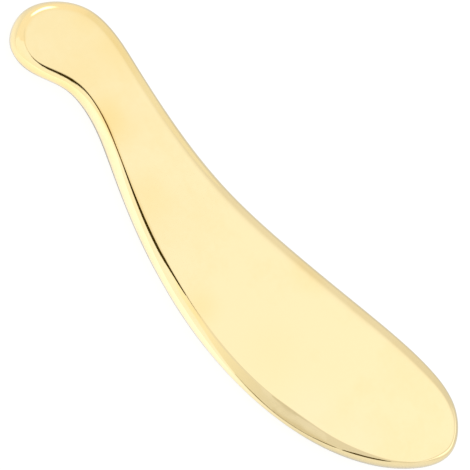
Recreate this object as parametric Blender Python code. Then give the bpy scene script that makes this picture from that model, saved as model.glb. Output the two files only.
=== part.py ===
# Gua sha scraping tool, one solid piece of polished brass: a flat plate with a round head at one
# end, a neck and waist that dip in along the near side, and a broad blade at the other end.
# Its two flat faces meet the edge in a profile that changes all the way round the outline.
# Metres, +Z up. X runs from the head to the tip of the blade and the near side looks to -Y.
# The origin is under the middle of the plate, on the surface that it lies on.

import math
from collections import namedtuple

import bpy
import numpy as np

# Overall sizes
overall_length = 0.140
plate_thickness = 0.0060
head_length = 0.026  # from the end of the head to the narrowest place of the neck
head_width = 0.0203
neck_width = 0.0165
blade_width = 0.0342
centre_line_bow = 0.0124  # how far the middle of the width swings to either side

# Edge sizes. From the face, a bevel drops towards the edge, and then a side rolls round to the
# middle of the thickness. Where there is no bevel, the side starts at the face.
head_bevel_width = 0.0011
head_bevel_drop = 0.0005
head_side_width = 0.0010
neck_bevel_width = 0.0005
neck_bevel_drop = 0.0003
neck_side_width = 0.0009
waist_side_width = 0.0011
blade_root_bevel_width = 0.0011
blade_root_bevel_drop = 0.0009
blade_root_side_width = 0.0006
blade_bevel_width = 0.0019
blade_bevel_drop = 0.0021
blade_side_width = 0.0003
toe_bevel_width = 0.0006
toe_bevel_drop = 0.0006
toe_side_width = 0.0009
tip_side_width = 0.0011
back_bevel_width = 0.0029
back_bevel_drop = 0.0015
back_side_width = 0.0005
grip_side_width = 0.0040
crisp_round = 0.0002  # reach of the rounding of a corner, to each side of it
soft_round = 0.0004
edge_blend = 0.005  # reach over which one edge profile turns into the next, to each side

# Stations along the tool, each with its place, the offset of the middle of the width and the
# width. Places on the head are shares of head_length, and the others are shares of the rest of
# the length. Offsets are shares of centre_line_bow.
head_stations_share = ((0.13, 0.00, 0.73), (0.40, 0.18, 1.00), (0.73, 0.33, 0.87))
waist_stations_share = (
    (0.00, 0.26, 0.00),
    (0.12, -0.10, 0.17),
    (0.28, -0.51, 0.50),
    (0.47, -0.67, 0.85),
    (0.65, -0.57, 1.00),
    (0.77, -0.38, 0.92),
)
tip_stations_share = ((0.87, -0.16, 0.82), (0.95, 0.02, 0.55))
head_end_offset_share = -0.04
tip_end_offset_share = 0.11

# Fineness of the mesh and of the curves that it is taken from
rings_round_outline = 180
points_per_half_section = 10
averaging_samples = 21
spline_samples_per_span = 200
side_arc_samples = 120
section_samples = 400
turning_weight = 2  # how much more a turn of the section draws points than a length of it
sharp_edge_degrees = 20

Edge = namedtuple("Edge", "bevel_width bevel_drop side_width round_reach")

head_edge = Edge(head_bevel_width, head_bevel_drop, head_side_width, soft_round)
neck_edge = Edge(neck_bevel_width, neck_bevel_drop, neck_side_width, crisp_round)
waist_edge = Edge(0, 0, waist_side_width, crisp_round)
blade_root_edge = Edge(
    blade_root_bevel_width, blade_root_bevel_drop, blade_root_side_width, crisp_round
)
blade_edge = Edge(blade_bevel_width, blade_bevel_drop, blade_side_width, crisp_round)
toe_edge = Edge(toe_bevel_width, toe_bevel_drop, toe_side_width, crisp_round)
tip_edge = Edge(0, 0, tip_side_width, crisp_round)
back_edge = Edge(back_bevel_width, back_bevel_drop, back_side_width, crisp_round)
grip_edge = Edge(0, 0, grip_side_width, soft_round)

# The edge at each outline point, from the end of the head along the near side to the tip, and
# back along the far side.
near_edges = [head_edge, neck_edge] + [waist_edge] * 4 + [blade_root_edge]
near_edges += [blade_edge, blade_edge, toe_edge, tip_edge]
far_edges = [toe_edge, back_edge, back_edge, back_edge, back_edge]
far_edges += [grip_edge] * 4 + [head_edge, head_edge]
edges_round_outline = [head_edge] + near_edges + [tip_edge] + far_edges


def clear_scene():
    for obj in list(bpy.data.objects):
        bpy.data.objects.remove(obj, do_unlink=True)


def averaged(at, places, values, reach, period=None):
    """The broken line through the values, averaged over a reach to each side of every place.

    A corner between two straight stretches comes out as a smooth parabola.
    """
    window = np.linspace(-1, 1, averaging_samples)
    reach = np.broadcast_to(reach, at.shape)
    around = at[:, None] + reach[:, None] * window
    return np.interp(around, places, values, period=period).mean(axis=1)


def outline_points():
    """The points that the smooth outline passes through, from the end of the head anticlockwise.

    X starts from the end of the head, and Y is 0 where a centre line without offset runs.
    """
    stations = []
    for place, offset, width in head_stations_share:
        stations.append((place * head_length, offset, width * head_width))
    rest_of_length = overall_length - head_length
    for place, offset, growth in waist_stations_share:
        width = neck_width + growth * (blade_width - neck_width)
        stations.append((head_length + place * rest_of_length, offset, width))
    for place, offset, width in tip_stations_share:
        stations.append((head_length + place * rest_of_length, offset, width * blade_width))
    near = [(x, offset * centre_line_bow - width / 2) for x, offset, width in stations]
    far = [(x, offset * centre_line_bow + width / 2) for x, offset, width in stations]
    head_end = (0, head_end_offset_share * centre_line_bow)
    tip_end = (overall_length, tip_end_offset_share * centre_line_bow)
    return np.array([head_end] + near + [tip_end] + far[::-1])


def smooth_outline(points, count):
    """Evenly spaced places on the closed cubic spline through the points.

    Returns the positions, the outward directions, their distances along the outline, the
    distances of the given points and the length of the whole outline.
    """
    following = np.roll(points, -1, axis=0)
    chord = np.linalg.norm(following - points, axis=1)
    chord_before = np.roll(chord, 1)
    slope = (following - points) / chord[:, None]
    slope_before = np.roll(slope, 1, axis=0)
    # Tangents at the points for which the curvature has no jump
    index = np.arange(len(points))
    matrix = np.zeros((len(points), len(points)))
    matrix[index, index - 1] = chord
    matrix[index, index] = 2 * (chord_before + chord)
    matrix[index, (index + 1) % len(points)] = chord_before
    pull = 3 * (chord[:, None] * slope_before + chord_before[:, None] * slope)
    tangent = np.linalg.solve(matrix, pull)
    # Each span is a Hermite curve, sampled finely
    t = (np.arange(spline_samples_per_span) / spline_samples_per_span)[None, :, None]
    reach = chord[:, None, None]
    start, end = points[:, None], following[:, None]
    start_tangent, end_tangent = tangent[:, None], np.roll(tangent, -1, axis=0)[:, None]
    fine = (
        start * (2 * t**3 - 3 * t**2 + 1)
        + end * (3 * t**2 - 2 * t**3)
        + reach * start_tangent * (t**3 - 2 * t**2 + t)
        + reach * end_tangent * (t**3 - t**2)
    ).reshape(-1, 2)
    closed = np.vstack([fine, fine[:1]])
    travel = np.append(0, np.cumsum(np.linalg.norm(np.diff(closed, axis=0), axis=1)))
    length = travel[-1]
    at = np.arange(count) * length / count
    places = np.column_stack([np.interp(at, travel, closed[:, axis]) for axis in (0, 1)])
    along = np.roll(places, -1, axis=0) - np.roll(places, 1, axis=0)
    along /= np.linalg.norm(along, axis=1)[:, None]
    outward = np.column_stack([along[:, 1], -along[:, 0]])
    return places, outward, at, travel[:-1:spline_samples_per_span], length


def edge_section(edge, count):
    """Insets from the outline and heights over mid-thickness, from the face to the middle.

    The side is an arc that stands upright at mid-thickness: a circle's, or an ellipse's where
    the side is wider than it is high. Points gather where the section turns.
    """
    shoulder_height = plate_thickness / 2 - edge.bevel_drop
    turn = 2 * math.atan(min(edge.side_width / shoulder_height, 1))
    angle = turn * np.linspace(1, 0, side_arc_samples)
    inset = edge.side_width * (1 - np.cos(angle)) / (1 - math.cos(turn))
    height = shoulder_height * np.sin(angle) / math.sin(turn)
    face_inset = edge.side_width + edge.bevel_width
    lead = 2 * edge.round_reach
    sharp_inset = np.concatenate([[face_inset + lead, face_inset], inset, inset[-2::-1]])
    half_thickness = plate_thickness / 2
    sharp_height = np.concatenate([[half_thickness, half_thickness], height, -height[-2::-1]])
    steps = np.hypot(np.diff(sharp_inset), np.diff(sharp_height))
    travel = np.append(0, np.cumsum(steps))
    middle = travel[1 + len(angle)]
    fine = np.linspace(lead - edge.round_reach, middle, section_samples)
    rolled_inset = averaged(fine, travel, sharp_inset, edge.round_reach)
    rolled_height = averaged(fine, travel, sharp_height, edge.round_reach)
    run, rise = np.diff(rolled_inset), np.diff(rolled_height)
    length = np.hypot(run, rise)
    turning = np.abs(np.gradient(np.arctan2(-rise, -run)))
    effort = length / length.sum() + turning_weight * turning / turning.sum()
    spent = np.append(0, np.cumsum(effort))
    at = np.linspace(0, spent[-1], count)
    return np.interp(at, spent, rolled_inset), np.interp(at, spent, rolled_height)


def tool_mesh():
    """A loft of the changing edge section round the outline, closed by the two flat faces."""
    points = outline_points()
    places, outward, at, point_at, length = smooth_outline(points, rings_round_outline)
    places -= (places.min(axis=0) + places.max(axis=0)) / 2
    edge_values = np.array(edges_round_outline, float)
    blended = [averaged(at, point_at, column, edge_blend, length) for column in edge_values.T]
    rings = []
    for place, out, values in zip(places, outward, np.array(blended).T):
        inset, height = edge_section(Edge(*values), points_per_half_section)
        inset = np.concatenate([inset, inset[-2::-1]])
        height = np.concatenate([height, -height[-2::-1]])
        ring = np.column_stack([place - out * inset[:, None], plate_thickness / 2 + height])
        rings.append(ring)
    per_ring = len(rings[0])
    count = len(rings)
    faces = []
    for ring in range(count):
        here, following = ring * per_ring, (ring + 1) % count * per_ring
        for step in range(per_ring - 1):
            down = step + 1
            faces.append((here + step, here + down, following + down, following + step))
    faces.append([ring * per_ring for ring in range(count)])
    faces.append([ring * per_ring + per_ring - 1 for ring in reversed(range(count))])
    mesh = bpy.data.meshes.new("scraper_body")
    mesh.from_pydata(np.vstack(rings).tolist(), [], faces)
    mesh.update()
    mesh.shade_smooth()
    mesh.set_sharp_from_angle(angle=math.radians(sharp_edge_degrees))
    return mesh


def polished_brass():
    material = bpy.data.materials.new("polished_brass")
    material.use_nodes = True
    shader = material.node_tree.nodes["Principled BSDF"]
    shader.inputs["Base Color"].default_value = (0.93, 0.79, 0.45, 1)
    shader.inputs["Metallic"].default_value = 1
    shader.inputs["Roughness"].default_value = 0.08
    return material


def main():
    clear_scene()
    collection = bpy.data.collections.new("gua_sha_tool")
    bpy.context.scene.collection.children.link(collection)
    body = bpy.data.objects.new("scraper_body", tool_mesh())
    body.data.materials.append(polished_brass())
    collection.objects.link(body)


main()
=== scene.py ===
import math

import bpy
import numpy as np
from mathutils import Matrix, Vector


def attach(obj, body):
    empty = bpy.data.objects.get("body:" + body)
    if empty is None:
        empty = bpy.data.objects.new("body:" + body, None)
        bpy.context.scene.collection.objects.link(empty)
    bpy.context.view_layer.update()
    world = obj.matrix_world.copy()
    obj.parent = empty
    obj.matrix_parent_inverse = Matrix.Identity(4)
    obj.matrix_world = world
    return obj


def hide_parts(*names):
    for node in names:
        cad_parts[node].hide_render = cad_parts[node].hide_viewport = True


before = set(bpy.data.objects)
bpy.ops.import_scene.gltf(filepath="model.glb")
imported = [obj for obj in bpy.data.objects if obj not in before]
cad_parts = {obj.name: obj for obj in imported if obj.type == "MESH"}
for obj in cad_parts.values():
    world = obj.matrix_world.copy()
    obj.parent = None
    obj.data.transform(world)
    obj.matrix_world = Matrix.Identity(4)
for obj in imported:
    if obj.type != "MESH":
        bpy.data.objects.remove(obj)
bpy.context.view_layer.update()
scene = bpy.context.scene
scene.view_settings.view_transform = "Standard"
print("frame loaded: nodes", sorted(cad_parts))

# The brass body. Lengths in metres; stations hold a place along the tool, the swing of the
# middle of the width to either side, and the width, all as shares of the sizes above them.
scraperBody = {
    "length": 0.140,
    "thickness": 0.0060,
    "headLength": 0.026,  # end of the head to the narrowest place of the neck
    "headWidth": 0.0203,
    "neckWidth": 0.0165,
    "bladeWidth": 0.0342,
    "swing": 0.0124,
    "headStations": ((0.13, 0.00, 0.73), (0.40, 0.18, 1.00), (0.73, 0.33, 0.87)),
    "waistStations": (
        (0.00, 0.26, 0.00),
        (0.12, -0.10, 0.17),
        (0.28, -0.51, 0.50),
        (0.47, -0.67, 0.85),
        (0.65, -0.57, 1.00),
        (0.77, -0.38, 0.92),
    ),
    "tipStations": ((0.87, -0.16, 0.82), (0.95, 0.02, 0.55)),
    "headEndSwing": -0.04,
    "tipEndSwing": 0.11,
    # the edge, station by station: place round the outline (0 to 1 along the near side from the
    # end of the head, 1 to 2 back along the far side), and in millimetres the bevel's width and
    # drop, the width of the rolled side and the reach of the rounding of its corners
    "edges": (
        (0.003, 1.10, 0.50, 1.00, 0.55),
        (0.026, 1.05, 0.50, 0.98, 0.50),
        (0.040, 1.10, 0.60, 1.00, 0.35),
        (0.060, 1.15, 1.42, 0.58, 0.14),
        (0.075, 0.75, 0.93, 0.67, 0.13),
        (0.086, 0.52, 0.65, 0.70, 0.15),
        (0.093, 0.51, 0.63, 0.74, 0.21),
        (0.100, 0.54, 0.67, 0.79, 0.28),
        (0.107, 0.60, 0.74, 0.81, 0.35),
        (0.122, 0.67, 0.83, 0.80, 0.49),
        (0.138, 0.61, 0.75, 0.76, 0.50),
        (0.153, 0.53, 0.65, 0.83, 0.20),
        (0.168, 0.35, 0.43, 0.92, 0.17),
        (0.180, 0.12, 0.15, 1.02, 0.30),
        (0.198, 0.00, 0.00, 1.05, 0.35),
        (0.215, 0.00, 0.00, 0.98, 0.53),
        (0.239, 0.00, 0.00, 0.93, 0.58),
        (0.268, 0.00, 0.00, 0.96, 0.39),
        (0.285, 0.10, 0.12, 1.02, 0.38),
        (0.303, 0.21, 0.26, 0.97, 0.46),
        (0.320, 0.33, 0.41, 0.92, 0.53),
        (0.356, 0.42, 0.52, 0.88, 0.64),
        (0.391, 0.53, 0.65, 0.83, 0.63),
        (0.408, 0.60, 0.74, 0.80, 0.56),
        (0.426, 0.70, 0.85, 0.76, 0.44),
        (0.443, 0.85, 1.00, 0.70, 0.38),
        (0.461, 0.92, 1.03, 0.70, 0.36),
        (0.478, 0.80, 0.80, 0.84, 0.30),
        (0.496, 0.76, 0.74, 0.88, 0.30),
        (0.519, 0.86, 0.87, 0.83, 0.30),
        (0.543, 0.91, 0.93, 0.79, 0.35),
        (0.567, 1.15, 1.23, 0.62, 0.35),
        (0.597, 1.46, 1.62, 0.42, 0.30),
        (0.623, 1.70, 1.91, 0.30, 0.25),
        (0.664, 1.95, 2.11, 0.26, 0.15),
        (0.702, 2.30, 2.17, 0.25, 0.15),
        (0.738, 2.20, 2.00, 0.28, 0.18),
        (0.762, 1.85, 1.75, 0.34, 0.20),
        (0.797, 1.42, 1.25, 0.45, 0.22),
        (0.824, 1.02, 0.82, 0.63, 0.30),
        (0.855, 0.60, 0.42, 0.80, 0.33),
        (0.885, 0.16, 0.10, 0.95, 0.26),
        (0.905, 0.00, 0.00, 1.10, 0.25),
        (0.924, 0.00, 0.00, 0.98, 0.25),
        (0.952, 0.00, 0.00, 1.58, 0.30),
        (0.980, 0.00, 0.00, 2.20, 0.30),
        (1.008, 0.00, 0.00, 2.50, 0.35),
        (1.045, 0.00, 0.00, 2.80, 0.50),
        (1.070, 0.60, 0.25, 2.20, 0.60),
        (1.106, 2.20, 1.10, 0.85, 0.70),
        (1.157, 2.85, 1.42, 0.55, 0.90),
        (1.344, 2.85, 1.32, 0.60, 1.20),
        (1.850, 2.75, 1.25, 0.75, 1.20),
        (1.898, 1.90, 0.85, 1.10, 0.80),
        (1.949, 1.30, 0.60, 1.10, 0.55),
    ),
    "edgeBlend": 0.0022,  # reach over which one edge turns into the next
    # fineness of the mesh and of the curves that it is taken from
    "ringsPerSide": 480,
    "rowsPerHalfEdge": 36,
    "columnsAcrossFace": 12,
    "samplesPerSpan": 400,
    "sectionSamples": 240,
    "averagingSamples": 21,
    "turningWeight": 2,  # how much more a turn of the section draws points than a length of it
    "leastBevel": 1e-9,  # a shorter bevel counts as none
}


def outlinePoints(shape):
    # near point = swing - half the width, far point = swing + half the width, at each station
    rest = shape["length"] - shape["headLength"]
    stations = [(x * shape["headLength"], swing, width * shape["headWidth"])
                for x, swing, width in shape["headStations"]]
    growth = shape["bladeWidth"] - shape["neckWidth"]
    stations += [(shape["headLength"] + x * rest, swing, shape["neckWidth"] + more * growth)
                 for x, swing, more in shape["waistStations"]]
    stations += [(shape["headLength"] + x * rest, swing, width * shape["bladeWidth"])
                 for x, swing, width in shape["tipStations"]]
    x, swing, width = np.array(stations).T
    near = np.column_stack([x, swing * shape["swing"] - width / 2])
    far = np.column_stack([x, swing * shape["swing"] + width / 2])
    headEnd = (0, shape["headEndSwing"] * shape["swing"])
    tipEnd = (shape["length"], shape["tipEndSwing"] * shape["swing"])
    return np.vstack([headEnd, near, tipEnd, far[::-1]])


def closedSpline(points, tipIndex, ringsPerSide, samplesPerSpan):
    # cubic spans whose tangents leave no jump in the curvature, then two evenly spaced halves:
    # head end to tip along the near side, and tip to head end along the far side
    following = np.roll(points, -1, axis=0)
    chord = np.linalg.norm(following - points, axis=1)
    before = np.roll(chord, 1)
    slope = (following - points) / chord[:, None]
    index = np.arange(len(points))
    matrix = np.zeros((len(points), len(points)))
    matrix[index, index - 1] = chord
    matrix[index, index] = 2 * (before + chord)
    matrix[index, (index + 1) % len(points)] = before
    pull = 3 * (chord[:, None] * np.roll(slope, 1, axis=0) + before[:, None] * slope)
    tangent = np.linalg.solve(matrix, pull)
    t = (np.arange(samplesPerSpan) / samplesPerSpan)[None, :, None]
    reach = chord[:, None, None]
    fine = (points[:, None] * (2 * t**3 - 3 * t**2 + 1) + following[:, None] * (3 * t**2 - 2 * t**3)
            + reach * tangent[:, None] * (t**3 - 2 * t**2 + t)
            + reach * np.roll(tangent, -1, axis=0)[:, None] * (t**3 - t**2)).reshape(-1, 2)
    closed = np.vstack([fine, fine[:1]])
    travel = np.append(0, np.cumsum(np.linalg.norm(np.diff(closed, axis=0), axis=1)))
    share = np.arange(ringsPerSide) / ringsPerSide
    tipAt = travel[tipIndex * samplesPerSpan]
    at = np.concatenate([share * tipAt, tipAt + share * (travel[-1] - tipAt)])
    along = np.roll(fine, -1, axis=0) - np.roll(fine, 1, axis=0)
    along /= np.linalg.norm(along, axis=1)[:, None]
    along = np.vstack([along, along[:1]])
    place = np.column_stack([np.interp(at, travel, closed[:, axis]) for axis in (0, 1)])
    heading = np.column_stack([np.interp(at, travel, along[:, axis]) for axis in (0, 1)])
    heading /= np.linalg.norm(heading, axis=1)[:, None]
    outward = np.column_stack([heading[:, 1], -heading[:, 0]])
    return place, outward, at, tipAt, travel[-1]


def edgeSections(edges, shape):
    # inset and height over mid-thickness, from the flat face over the straight bevel and round
    # the side arc to the middle: inset = across (1 - cos angle), height = upright sin angle;
    # each corner is the average over its rounding reach
    bevelWidth, bevelDrop, sideWidth, reach = edges[:, :, None]
    half = shape["thickness"] / 2
    shoulder = half - bevelDrop
    turn = 2 * np.arctan(np.minimum(sideWidth / shoulder, 1))
    across, upright = sideWidth / (1 - np.cos(turn)), shoulder / np.sin(turn)
    bevelLength = np.hypot(bevelWidth, bevelDrop)
    lead = 2 * reach
    arcLength = turn * (across + upright) / 2
    s = np.linspace(0, 1, shape["sectionSamples"]) * (lead + bevelLength + arcLength)
    s = s[:, :, None] + reach[:, :, None] * np.linspace(-1, 1, shape["averagingSamples"])
    lead, bevelLength, turn = lead[..., None], bevelLength[..., None], turn[..., None]
    onBevel = np.clip((s - lead) / np.maximum(bevelLength, shape["leastBevel"]), 0, 1)
    onBevel = np.where(bevelLength > shape["leastBevel"], onBevel, (s > lead) * 1.0)
    pastBevel = np.maximum(s - lead - bevelLength, 0)
    angle = turn - pastBevel * 2 / (across + upright)[..., None]
    inset = across[..., None] * (1 - np.cos(angle))
    height = upright[..., None] * np.sin(angle)
    beforeArc = pastBevel == 0
    inset = np.where(beforeArc, sideWidth[..., None] + bevelWidth[..., None] * (1 - onBevel)
                     + np.maximum(lead - s, 0), inset)
    height = np.where(beforeArc, half - bevelDrop[..., None] * onBevel, height)
    inset, height = inset.mean(axis=2), height.mean(axis=2)
    # points gather where the section turns; all rings are inverted in one interpolation
    run, rise = np.diff(inset), np.diff(height)
    length = np.hypot(run, rise)
    turning = np.abs(np.gradient(np.unwrap(np.arctan2(-rise, -run)), axis=1))
    effort = (length / length.sum(axis=1)[:, None]
              + shape["turningWeight"] * turning / turning.sum(axis=1)[:, None])
    spent = np.cumsum(effort, axis=1) / effort.sum(axis=1)[:, None]
    spent = np.hstack([np.zeros((len(spent), 1)), spent])
    rows = shape["rowsPerHalfEdge"]
    row = 2 * np.arange(len(spent))[:, None]
    wanted = (row + np.linspace(0, 1, rows)).ravel()
    inset = np.interp(wanted, (row + spent).ravel(), inset.ravel()).reshape(-1, rows)
    height = np.interp(wanted, (row + spent).ravel(), height.ravel()).reshape(-1, rows)
    return inset, height


def scraperSurface(shape):
    # edge band: section(v) carried round outline(u); faces: straight rows from the near crease
    # to the far crease, ring i to ring n - i, closed by a fan at the head end and at the tip
    points = outlinePoints(shape)
    place, outward, at, tipAt, around = closedSpline(
        points, len(points) // 2, shape["ringsPerSide"], shape["samplesPerSpan"])
    place -= (place.min(axis=0) + place.max(axis=0)) / 2
    # each size of the edge is a broken line through its stations, averaged over a reach
    share, *sizes = np.array(shape["edges"]).T
    stationAt = np.interp(share, (0, 1, 2), (0, tipAt, around))
    window = shape["edgeBlend"] * np.linspace(-1, 1, shape["averagingSamples"])
    nearby = at[:, None] + window
    edges = np.array([np.interp(nearby, stationAt, size / 1000, period=around).mean(axis=1)
                      for size in sizes])
    inset, height = edgeSections(edges, shape)
    inset = np.hstack([inset, inset[:, -2::-1]])
    height = np.hstack([height, -height[:, -2::-1]])
    rings, rows = inset.shape
    band = np.empty((rings, rows, 3))
    band[:, :, :2] = place[:, None] - outward[:, None] * inset[:, :, None]
    band[:, :, 2] = shape["thickness"] / 2 + height
    # quads of the edge band
    ring = np.arange(rings)[:, None]
    step = np.arange(rows - 1)[None]
    here = ring * rows + step
    following = (ring + 1) % rings * rows + step
    quads = [np.stack([here, here + 1, following + 1, following], axis=-1).reshape(-1, 4)]
    triangles = []
    vertices = [band.reshape(-1, 3)]
    # the upper face hangs on the band's first row and the lower one on its last
    side = rings // 2
    columns = shape["columnsAcrossFace"]
    across = (np.arange(1, columns) / columns)[None, :, None]
    base = rings * rows
    for rim in (0, rows - 1):
        near, far = band[1:side, rim], band[:side:-1, rim]
        inner = near[:, None] * (1 - across) + far[:, None] * across
        innerIndex = base + np.arange(inner.shape[0] * inner.shape[1]).reshape(inner.shape[:2])
        base += innerIndex.size
        vertices.append(inner.reshape(-1, 3))
        nearIndex = (np.arange(1, side) * rows + rim)[:, None]
        farIndex = (np.arange(rings - 1, side, -1) * rows + rim)[:, None]
        grid = np.hstack([nearIndex, innerIndex, farIndex])
        face = np.stack([grid[:-1, :-1], grid[1:, :-1], grid[1:, 1:], grid[:-1, 1:]], axis=-1)
        face = face.reshape(-1, 4)
        headPole = np.full(columns, rim)
        tipPole = np.full(columns, side * rows + rim)
        headFan = np.column_stack([headPole, grid[0, :-1], grid[0, 1:]])
        tipFan = np.column_stack([tipPole, grid[-1, 1:], grid[-1, :-1]])
        if rim:  # the lower face looks down
            face, headFan, tipFan = face[:, ::-1], headFan[:, ::-1], tipFan[:, ::-1]
        quads.append(face)
        triangles += [headFan, tipFan]
    return np.vstack(vertices), np.vstack(quads), np.vstack(triangles)


noTriangles = np.zeros((0, 3), int)


def surfaceObject(name, vertices, quads, triangles=noTriangles):
    mesh = bpy.data.meshes.new(name)
    loops = np.concatenate([quads.ravel(), triangles.ravel()])
    sizes = np.concatenate([np.full(len(quads), 4), np.full(len(triangles), 3)])
    mesh.vertices.add(len(vertices))
    mesh.loops.add(len(loops))
    mesh.polygons.add(len(sizes))
    mesh.vertices.foreach_set("co", vertices.astype(np.float32).ravel())
    mesh.loops.foreach_set("vertex_index", loops.astype(np.int32))
    starts = np.concatenate([[0], np.cumsum(sizes)[:-1]])
    mesh.polygons.foreach_set("loop_start", starts.astype(np.int32))
    mesh.update(calc_edges=True)
    mesh.validate()
    mesh.shade_smooth()
    piece = bpy.data.objects.new(name, mesh)
    scene.collection.objects.link(piece)
    return piece


body = surfaceObject("scraper_body_polished", *scraperSurface(scraperBody))
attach(body, "root")
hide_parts("scraper_body")
print("body made:", len(body.data.vertices), "vertices,", len(body.data.polygons), "faces")

# Brass finish: colour drifts slightly over the plate, and the polish leaves faint hairlines.
# The tone goes from warm (0) to pale (1): it falls towards the head, a painted warm reflection, and
# two noises shift it.
brassFinish = {
    "paleColour": (0.960, 0.815, 0.475, 1),
    "warmColour": (0.950, 0.785, 0.430, 1),
    # the fall of the tone towards the head is a painted warm reflection
    "paintedWarmReflectionPlace": (0.0, -0.045),  # x where the tone starts to fall and where it has fallen
    "paintedWarmReflectionTone": (1.0, 0.3),
    "driftScale": 90.0,
    "driftDetail": 3.0,
    "driftBand": (0.3, 0.7),  # the stretch of the noise that is used, here and for the grain
    "driftTone": (-0.5, 0.4),
    "grainScale": 900.0,
    "grainDetail": 2.0,
    "grainBand": (0.2, 0.8),
    "grainTone": (-0.2, 0.2),
    "grazingColour": (0.80, 0.86, 1.0, 1),
    "deepColour": (0.950, 0.735, 0.330, 1),
    "brightColour": (0.960, 0.820, 0.520, 1),
    # deeper and brighter spots of the faces and deeper ones of the edge: x, y, reach and amount
    "deepSpots": (
        (-0.0410, 0.0010, 0.0090, 0.9),
        (-0.0500, 0.0165, 0.0110, 0.6),
        (-0.0590, 0.0150, 0.0070, 0.5),
        (0.0020, -0.0140, 0.0070, 0.45),
        (0.0160, 0.0130, 0.0085, 0.55),
        (-0.0225, -0.0050, 0.0100, 0.4),
        (-0.0520, 0.0050, 0.0090, 0.3),
        (0.0210, -0.0090, 0.0110, 0.12),
    ),
    "brightSpots": (
        (0.0380, -0.0130, 0.0120, 0.5),
        (0.0490, -0.0080, 0.0100, 0.4),
        (-0.0380, 0.0080, 0.0050, 0.2),
    ),
    "edgeSpots": (
        (-0.0570, -0.0035, 0.0130, 0.95),
        (-0.0525, 0.0010, 0.0085, 1.0),
        (-0.0350, -0.0060, 0.0050, 0.3),
        (-0.0650, 0.0150, 0.0130, 0.35),
    ),
    "faceEdge": (0.0012, 0.0027),  # distances from mid-thickness between which edge becomes face
    "patchBand": (0.3, 0.5),  # the drift leaves the deeper spots of the faces patchy
    "roughnessBand": (0.3, 0.7),
    "roughness": (0.055, 0.095),
    "hairlineScale": (60.0, 2400.0, 600.0),
    "hairlineDetail": 2.0,
    "hairlineStrength": 0.05,
    "hairlineDepth": 0.00002,
}


def newMaterial(name):
    material = bpy.data.materials.new(name)
    material.use_nodes = True
    nodes, links = material.node_tree.nodes, material.node_tree.links
    nodes.clear()
    surface = nodes.new("ShaderNodeOutputMaterial").inputs["Surface"]
    return material, nodes, links, surface


def mathNode(nodes, links, operation, first, second=None):
    node = nodes.new("ShaderNodeMath")
    node.operation = operation
    for socket, value in zip(node.inputs, (first, second)):
        if value is None:
            continue
        if isinstance(value, (int, float)):
            socket.default_value = value
        else:
            links.new(value, socket)
    return node.outputs[0]


def smoothBand(nodes, links, value, low, high, fromValue=0.0, toValue=1.0):
    # smooth step of a value from low to high
    node = nodes.new("ShaderNodeMapRange")
    node.interpolation_type = "SMOOTHSTEP"
    links.new(value, node.inputs["Value"])
    node.inputs["From Min"].default_value = low
    node.inputs["From Max"].default_value = high
    node.inputs["To Min"].default_value = fromValue
    node.inputs["To Max"].default_value = toValue
    return node.outputs["Result"]


def noiseNode(nodes, links, vector, scale, detail):
    node = nodes.new("ShaderNodeTexNoise")
    node.inputs["Scale"].default_value = scale
    node.inputs["Detail"].default_value = detail
    links.new(vector, node.inputs["Vector"])
    return node.outputs["Fac"]


def colourMix(nodes, links, factor, first, second):
    node = nodes.new("ShaderNodeMix")
    node.data_type = "RGBA"
    links.new(factor, node.inputs["Factor"])
    for name, value in (("A", first), ("B", second)):
        if isinstance(value, tuple):
            node.inputs[name].default_value = value
        else:
            links.new(value, node.inputs[name])
    return node.outputs["Result"]


def spotField(nodes, links, place, spots):
    # greatest of the soft round spots that reach a place
    field = None
    for x, y, reach, amount in spots:
        apart = nodes.new("ShaderNodeVectorMath")
        apart.operation = "DISTANCE"
        apart.inputs[1].default_value = (x, y, 0)
        links.new(place, apart.inputs[0])
        spot = smoothBand(nodes, links, apart.outputs["Value"], reach, 0, 0, amount)
        field = spot if field is None else mathNode(nodes, links, "MAXIMUM", field, spot)
    return field


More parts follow.
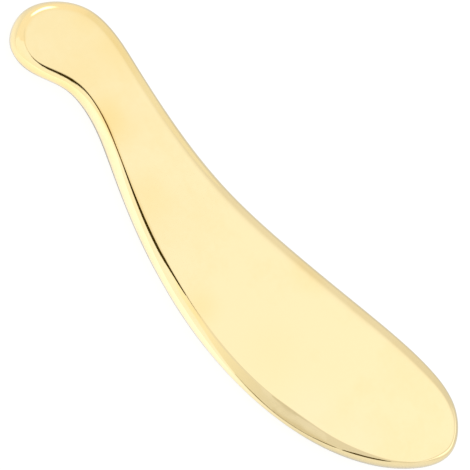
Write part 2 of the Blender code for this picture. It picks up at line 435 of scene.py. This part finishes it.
def polishedBrass(finish, thickness):
    material, nodes, links, surface = newMaterial("polishedBrass")
    shader = nodes.new("ShaderNodeBsdfPrincipled")
    shader.inputs["Metallic"].default_value = 1.0
    shader.inputs["Specular Tint"].default_value = finish["grazingColour"]
    links.new(shader.outputs[0], surface)
    coordinates = nodes.new("ShaderNodeTexCoord").outputs["Object"]
    drift = noiseNode(nodes, links, coordinates, finish["driftScale"], finish["driftDetail"])
    grain = noiseNode(nodes, links, coordinates, finish["grainScale"], finish["grainDetail"])
    axes = nodes.new("ShaderNodeSeparateXYZ")
    links.new(coordinates, axes.inputs[0])
    # painted warm reflection: the tone falls towards the head
    tone = smoothBand(nodes, links, axes.outputs["X"], *finish["paintedWarmReflectionPlace"], *finish["paintedWarmReflectionTone"])
    for noise, title in ((drift, "drift"), (grain, "grain")):
        shift = smoothBand(nodes, links, noise, *finish[f"{title}Band"], *finish[f"{title}Tone"])
        tone = mathNode(nodes, links, "ADD", tone, shift)
    colour = colourMix(nodes, links, tone, finish["warmColour"], finish["paleColour"])
    flat = nodes.new("ShaderNodeCombineXYZ")
    links.new(axes.outputs["X"], flat.inputs["X"])
    links.new(axes.outputs["Y"], flat.inputs["Y"])
    fromMiddle = mathNode(nodes, links, "SUBTRACT", axes.outputs["Z"], thickness / 2)
    fromMiddle = mathNode(nodes, links, "ABSOLUTE", fromMiddle)
    onFace = smoothBand(nodes, links, fromMiddle, *finish["faceEdge"])
    onEdge = mathNode(nodes, links, "SUBTRACT", 1.0, onFace)
    patchy = smoothBand(nodes, links, drift, *finish["patchBand"])
    for spots, spotColour, fades in (
        ("deepSpots", "deepColour", (onFace, patchy)),
        ("brightSpots", "brightColour", (onFace,)),
        ("edgeSpots", "deepColour", (onEdge,)),
    ):
        amount = spotField(nodes, links, flat.outputs[0], finish[spots])
        for fade in fades:
            amount = mathNode(nodes, links, "MULTIPLY", amount, fade)
        colour = colourMix(nodes, links, amount, colour, finish[spotColour])
    links.new(colour, shader.inputs["Base Color"])
    rough = smoothBand(nodes, links, grain, *finish["roughnessBand"], *finish["roughness"])
    links.new(rough, shader.inputs["Roughness"])
    stretch = nodes.new("ShaderNodeMapping")
    stretch.inputs["Scale"].default_value = finish["hairlineScale"]
    links.new(coordinates, stretch.inputs["Vector"])
    hairlines = noiseNode(nodes, links, stretch.outputs["Vector"], 1.0, finish["hairlineDetail"])
    bump = nodes.new("ShaderNodeBump")
    bump.inputs["Strength"].default_value = finish["hairlineStrength"]
    bump.inputs["Distance"].default_value = finish["hairlineDepth"]
    links.new(hairlines, bump.inputs["Height"])
    links.new(bump.outputs["Normal"], shader.inputs["Normal"])
    return material


body.data.materials.append(polishedBrass(brassFinish, scraperBody["thickness"]))
print("brass made")

# The camera of the photograph: it looks down on the plate from the near side, from a distance.
# Angles in degrees: above the floor, turned from -Y towards the head, and rolled in the picture.
cameraView = {
    "target": (-0.0014, 0.0059, 0.0030),
    "aboveFloor": 60.0,
    "turn": 27.0,
    "roll": 70.0,
    "distance": 0.7236,
    "lens": 250.0,
    "clip": (0.05, 20.0),
}


def photographCamera(view):
    # back = towards the camera; side and its upright partner are then rolled in the picture
    above, turn, roll = (math.radians(view[key]) for key in ("aboveFloor", "turn", "roll"))
    level = math.cos(above)
    back = Vector((-level * math.sin(turn), -level * math.cos(turn), math.sin(above)))
    side = Vector((math.cos(turn), -math.sin(turn), 0))
    upright = back.cross(side)
    right = math.cos(roll) * side + math.sin(roll) * upright
    up = math.cos(roll) * upright - math.sin(roll) * side
    data = bpy.data.cameras.new("photographCamera")
    data.lens = view["lens"]
    data.clip_start, data.clip_end = view["clip"]
    camera = bpy.data.objects.new("photographCamera", data)
    turned = Matrix((right, up, back)).transposed()
    where = Vector(view["target"]) + back * view["distance"]
    camera.matrix_world = Matrix.Translation(where) @ turned.to_4x4()
    scene.collection.objects.link(camera)
    scene.camera = camera


photographCamera(cameraView)

# The room: soft, nearly even light that is a little stronger overhead, strips of light, and
# upright cards that only reflections see, over a white floor. What the camera sees behind the
# object is plain white.
studio = {
    "white": (1, 1, 1, 1),
    "floorSize": 4.0,
    "floorHeight": -0.0001,
    "floorColour": (0.20, 0.20, 0.20, 1),
    "floorGlow": 0.87,
    # what polished metal sees of the floor: paper before the tool and behind it, the paper behind
    # painted darker as shade, and a glow that is stronger in the zone before the head and the
    # waist;
    # both darken close to the tool in a painted contact shade. Each pair of places is where a part
    # of the floor starts and where it has its full strength.
    "mirroredFront": (0.56, 0.56, 0.56, 1),
    "mirroredShadedBehind": (0.40, 0.39, 0.38, 1),
    "behindFrom": (0.010, 0.030),
    "behindHead": (-0.068, -0.050),
    "mirroredGlow": 0.39,
    "zoneGlow": 0.36,
    "zoneGlowColour": (0.92, 1.0, 1.32, 1),
    "zoneHead": (-0.098, -0.046),
    "zoneTip": (0.048, 0.008),
    "zoneFront": (0.012, 0.002),
    # reach of the painted contact shade
    "contactReach": 0.0014,
    # the room's light from the tip's side and from the head's, from overhead, from the near side
    # and from the bright horizon there: colour, level, and the stretch in which each comes in
    "sideColour": (1.0, 0.97, 0.93, 1),
    "sideLevel": 0.81,
    "headSideColour": (1.0, 0.94, 0.83, 1),
    "headSideLevel": 1.04,
    "headSideFrom": (0.45, -0.20),
    "overheadDirection": (0.28, 0.50, 0.82),
    "overheadFrom": (0.76, 1.005),
    # level overhead, from the head to the tip as the tool mirrors it
    "overheadLevels": (1.042, 1.104),
    "overheadSlant": (0.10, 0.35),
    "frontColour": (1.0, 0.955, 0.82, 1),
    "frontLevel": 0.10,
    "nearSide": (-0.30, -0.95, 0.0),
    "nearSideFrom": (0.60, 0.90),
    "horizonHeight": (0.24, 0.19),
    "horizonLevel": 1.12,
    # strips of light: turn and tilt of either end, half the width, all in degrees, and the level
    # that is added, or taken away where it is below 0
    "strips": (
        (137.0, 41.5, 112.0, 22.5, 10.5, 1.30),
        (-2.0, 18.0, 58.0, 12.0, 8.0, 0.60),
        (-8.0, 26.0, 34.0, 4.0, 22.0, 0.28),
        (225.0, 50.0, 150.0, 62.0, 10.0, -0.12),
    ),
    "stripFade": (1.2, 0.5),  # shares of half a strip's length where it starts and is full
    # cards that only reflections see, each in its own upright plane along X: its glow, the
    # plane's y, and then x, lower edge and upper edge, station by station along the card
    "cards": {
        "darkHead": (
            (0.150, 0.080, 0.0),
            -0.0400,
            (
                (-0.1100, 0.0580, 0.0660),
                (-0.0870, 0.0480, 0.0600),
                (-0.0690, 0.0360, 0.0560),
                (-0.0600, 0.0260, 0.0580),
                (-0.0560, 0.0185, 0.0800),
                (-0.0500, 0.0182, 0.0800),
            ),
        ),
        "darkWaist": (
            (0.048, 0.033, 0.0),
            -0.0400,
            (
                (-0.0500, 0.0182, 0.0800),
                (-0.0450, 0.0180, 0.0800),
                (-0.0360, 0.0165, 0.0800),
                (-0.0280, 0.0150, 0.0800),
                (-0.0180, 0.0150, 0.0800),
                (-0.0130, 0.0180, 0.1200),
                (-0.0080, 0.0230, 0.1250),
                (-0.0040, 0.0330, 0.1250),
                (-0.0010, 0.0600, 0.1250),
                (0.0120, 0.0750, 0.1250),
            ),
        ),
        "darkToe": (
            (0.080, 0.053, 0.0),
            -0.0400,
            (
                (0.0765, 0.0045, 0.0160),
                (0.0860, 0.0030, 0.0250),
                (0.1120, 0.0020, 0.0300),
                (0.1280, 0.0045, 0.0200),
                (0.1340, 0.0090, 0.0110),
            ),
        ),
        "darkBlade": (
            (0.080, 0.053, 0.0),
            -0.0400,
            (
                (0.0240, 0.0084, 0.0094),
                (0.0360, 0.0068, 0.0110),
                (0.0580, 0.0064, 0.0112),
                (0.0645, 0.0042, 0.0138),
                (0.0715, 0.0045, 0.0138),
                (0.0735, 0.0084, 0.0090),
            ),
        ),
        "dullBlade": (
            (0.720, 0.670, 0.580),
            -0.0402,
            (
                (0.0420, 0.0125, 0.0143),
                (0.0480, 0.0140, 0.0168),
                (0.0540, 0.0150, 0.0184),
                (0.0600, 0.0150, 0.0181),
                (0.0650, 0.0150, 0.0186),
                (0.0690, 0.0150, 0.0190),
                (0.0740, 0.0160, 0.0180),
            ),
        ),
        "brightBlade": (
            (0.865, 0.850, 0.830),
            -0.0402,
            (
                (0.0390, 0.0143, 0.0148),
                (0.0430, 0.0151, 0.0160),
                (0.0460, 0.0162, 0.0171),
                (0.0490, 0.0176, 0.0186),
                (0.0520, 0.0187, 0.0199),
                (0.0540, 0.0188, 0.0208),
                (0.0580, 0.0186, 0.0214),
                (0.0620, 0.0186, 0.0214),
                (0.0660, 0.0194, 0.0200),
            ),
        ),
        "dullCrease": (
            (0.700, 0.670, 0.600),
            -0.0404,
            (
                (0.0405, 0.0158, 0.0190),
                (0.0435, 0.0164, 0.0250),
                (0.0460, 0.0174, 0.0280),
                (0.0480, 0.0183, 0.0280),
                (0.0500, 0.0191, 0.0270),
                (0.0520, 0.0200, 0.0260),
                (0.0560, 0.0212, 0.0230),
            ),
        ),
        "brightCrease": (
            (0.880, 0.865, 0.850),
            -0.0406,
            (
                (0.0180, 0.0260, 0.0450),
                (0.0260, 0.0205, 0.0450),
                (0.0310, 0.0165, 0.0450),
                (0.0360, 0.0137, 0.0450),
                (0.0410, 0.0148, 0.0400),
                (0.0450, 0.0250, 0.0350),
            ),
        ),
        "pale": (
            (1.10, 1.10, 1.10),
            -0.0400,
            (
                (-0.1300, 0.0, 0.0600),
                (-0.0870, 0.0, 0.0480),
                (-0.0690, 0.0, 0.0360),
                (-0.0600, 0.0, 0.0260),
                (-0.0560, 0.0, 0.0185),
                (-0.0500, 0.0, 0.0182),
                (-0.0450, 0.0, 0.0180),
                (-0.0360, 0.0, 0.0165),
                (-0.0280, 0.0, 0.0150),
                (-0.0200, 0.0, 0.0150),
                (0.0030, 0.0, 0.0165),
                (0.0120, 0.0, 0.0120),
                (0.0300, 0.0, 0.0070),
            ),
        ),
        "behindNeck": (
            (0.955, 0.915, 0.805),
            0.0800,
            (
                (-0.0600, 0.0, 0.0420),
                (-0.0180, 0.0, 0.0420),
                (0.0050, 0.0150, 0.0200),
            ),
        ),
    },
}


def directionShare(nodes, links, vector, direction):
    # cosine of the angle between a direction and the one looked along
    node = nodes.new("ShaderNodeVectorMath")
    node.operation = "DOT_PRODUCT"
    links.new(vector, node.inputs[0])
    node.inputs[1].default_value = Vector(direction).normalized()
    return node.outputs["Value"]


def aimedAt(turn, tilt):
    turn, tilt = math.radians(turn), math.radians(tilt)
    return Vector((math.cos(turn) * math.cos(tilt), math.sin(turn) * math.cos(tilt),
                   math.sin(tilt)))


def lightStrip(nodes, links, direction, strip, fade):
    # soft strip along the arc from one aim to the other
    startTurn, startTilt, endTurn, endTilt, halfWidth, extra = strip
    start, end = aimedAt(startTurn, startTilt), aimedAt(endTurn, endTilt)
    aside = directionShare(nodes, links, direction, start.cross(end))
    aside = mathNode(nodes, links, "ABSOLUTE", aside)
    aside = smoothBand(nodes, links, aside, math.sin(math.radians(halfWidth)), 0, 0, extra)
    halfLength = start.angle(end) / 2
    along = directionShare(nodes, links, direction, start + end)
    along = smoothBand(nodes, links, along, *(math.cos(share * halfLength) for share in fade))
    return mathNode(nodes, links, "MULTIPLY", aside, along)


def studioWorld(room):
    world = bpy.data.worlds.new("studioWorld")
    scene.world = world
    world.use_nodes = True
    nodes, links = world.node_tree.nodes, world.node_tree.links
    nodes.clear()
    output = nodes.new("ShaderNodeOutputWorld")
    light = nodes.new("ShaderNodeBackground")
    plain = nodes.new("ShaderNodeBackground")
    mix = nodes.new("ShaderNodeMixShader")
    seen = nodes.new("ShaderNodeLightPath")
    links.new(seen.outputs["Is Camera Ray"], mix.inputs["Fac"])
    links.new(light.outputs[0], mix.inputs[1])
    links.new(plain.outputs[0], mix.inputs[2])
    links.new(mix.outputs[0], output.inputs["Surface"])
    plain.inputs["Color"].default_value = room["white"]
    direction = nodes.new("ShaderNodeTexCoord").outputs["Generated"]
    axes = nodes.new("ShaderNodeSeparateXYZ")
    links.new(direction, axes.inputs[0])
    height = axes.outputs["Z"]
    overhead = directionShare(nodes, links, direction, room["overheadDirection"])
    overhead = smoothBand(nodes, links, overhead, *room["overheadFrom"])
    top = smoothBand(nodes, links, axes.outputs["X"], *room["overheadSlant"],
                     *room["overheadLevels"])
    headSide = smoothBand(nodes, links, axes.outputs["X"], *room["headSideFrom"])
    nearSide = directionShare(nodes, links, direction, room["nearSide"])
    front = smoothBand(nodes, links, nearSide, *room["nearSideFrom"])
    level = mathNode(nodes, links, "MULTIPLY", headSide, room["headSideLevel"] - room["sideLevel"])
    level = mathNode(nodes, links, "ADD", level, room["sideLevel"])
    extra = mathNode(nodes, links, "MULTIPLY", front, room["frontLevel"])
    level = mathNode(nodes, links, "ADD", level, extra)
    rise = mathNode(nodes, links, "SUBTRACT", top, level)
    rise = mathNode(nodes, links, "MULTIPLY", rise, overhead)
    level = mathNode(nodes, links, "ADD", level, rise)
    # the horizon on the near side is bright
    low = smoothBand(nodes, links, height, *room["horizonHeight"])
    rise = mathNode(nodes, links, "SUBTRACT", room["horizonLevel"], level)
    rise = mathNode(nodes, links, "MULTIPLY", rise, mathNode(nodes, links, "MULTIPLY", front, low))
    level = mathNode(nodes, links, "ADD", level, rise)
    tint = colourMix(nodes, links, headSide, room["sideColour"], room["headSideColour"])
    tint = colourMix(nodes, links, front, tint, room["frontColour"])
    tint = colourMix(nodes, links, overhead, tint, room["white"])
    for strip in room["strips"]:
        beam = lightStrip(nodes, links, direction, strip, room["stripFade"])
        level = mathNode(nodes, links, "ADD", level, beam)
        tint = colourMix(nodes, links, beam, tint, room["white"])
    links.new(tint, light.inputs["Color"])
    links.new(level, light.inputs["Strength"])


def standingCards(room):
    # upright flat cards that only reflections see
    for title, (colour, place, stations) in room["cards"].items():
        x, lower, upper = np.array(stations).T
        count = len(x)
        upright = np.append(lower, upper)
        vertices = np.column_stack([np.tile(x, 2), np.full(2 * count, place), upright])
        step = np.arange(count - 1)
        strip = np.column_stack([step, step + 1, count + step + 1, count + step])
        card = surfaceObject(f"{title}Card", vertices, strip)
        material, nodes, links, surface = newMaterial(f"{title}Card")
        glow = nodes.new("ShaderNodeEmission")
        glow.inputs["Color"].default_value = (*colour, 1)
        links.new(glow.outputs[0], surface)
        card.data.materials.append(material)
        card.visible_camera = card.visible_diffuse = card.visible_shadow = False


def whiteFloor(room):
    half = room["floorSize"] / 2
    corners = np.array([(-half, -half), (half, -half), (half, half), (-half, half)])
    vertices = np.column_stack([corners, np.full(4, room["floorHeight"])])
    quad = np.array([[0, 1, 2, 3]])
    floor = surfaceObject("whiteFloor", vertices, quad)
    material, nodes, links, surface = newMaterial("whiteFloor")
    paper = nodes.new("ShaderNodeBsdfDiffuse")
    glow = nodes.new("ShaderNodeEmission")
    zoneGlow = nodes.new("ShaderNodeEmission")
    zoneGlow.inputs["Color"].default_value = room["zoneGlowColour"]
    lit = nodes.new("ShaderNodeAddShader")
    both = nodes.new("ShaderNodeAddShader")
    links.new(paper.outputs[0], lit.inputs[0])
    links.new(glow.outputs[0], lit.inputs[1])
    links.new(lit.outputs[0], both.inputs[0])
    links.new(zoneGlow.outputs[0], both.inputs[1])
    links.new(both.outputs[0], surface)
    # the camera sees the floor plain white, polished metal sees it lit and shaded as paper
    seen = nodes.new("ShaderNodeLightPath")
    mirrorRay = mathNode(nodes, links, "MAXIMUM", seen.outputs["Is Glossy Ray"],
                         seen.outputs["Is Transmission Ray"])
    coordinates = nodes.new("ShaderNodeTexCoord").outputs["Object"]
    axes = nodes.new("ShaderNodeSeparateXYZ")
    links.new(coordinates, axes.inputs[0])
    # painted contact shade: ambient occlusion darkens the mirrored paper and its glows close to the
    # tool
    contact = nodes.new("ShaderNodeAmbientOcclusion")
    contact.inputs["Distance"].default_value = room["contactReach"]
    # painted shade: the paper that metal mirrors behind the tool, past the head, is darker
    behind = smoothBand(nodes, links, axes.outputs["Y"], *room["behindFrom"])
    pastHead = smoothBand(nodes, links, axes.outputs["X"], *room["behindHead"])
    behind = mathNode(nodes, links, "MULTIPLY", behind, pastHead)
    tone = colourMix(nodes, links, behind, room["mirroredFront"], room["mirroredShadedBehind"])
    links.new(tone, contact.inputs["Color"])
    tone = colourMix(nodes, links, mirrorRay, room["floorColour"], contact.outputs["Color"])
    links.new(tone, paper.inputs["Color"])
    paintedContactShade = mathNode(nodes, links, "MULTIPLY", contact.outputs["AO"], mirrorRay)
    zone = smoothBand(nodes, links, axes.outputs["X"], *room["zoneHead"])
    for axis, ends in (("X", "zoneTip"), ("Y", "zoneFront")):
        part = smoothBand(nodes, links, axes.outputs[axis], *room[ends])
        zone = mathNode(nodes, links, "MULTIPLY", zone, part)
    zone = mathNode(nodes, links, "MULTIPLY", zone, paintedContactShade)
    links.new(mathNode(nodes, links, "MULTIPLY", zone, room["zoneGlow"]),
              zoneGlow.inputs["Strength"])
    mirrored = mathNode(nodes, links, "MULTIPLY", paintedContactShade, room["mirroredGlow"])
    shown = mathNode(nodes, links, "MULTIPLY", seen.outputs["Is Camera Ray"], room["floorGlow"])
    links.new(mathNode(nodes, links, "ADD", shown, mirrored), glow.inputs["Strength"])
    floor.data.materials.append(material)


studioWorld(studio)
whiteFloor(studio)
standingCards(studio)
print("studio made")

bpy.context.view_layer.update()
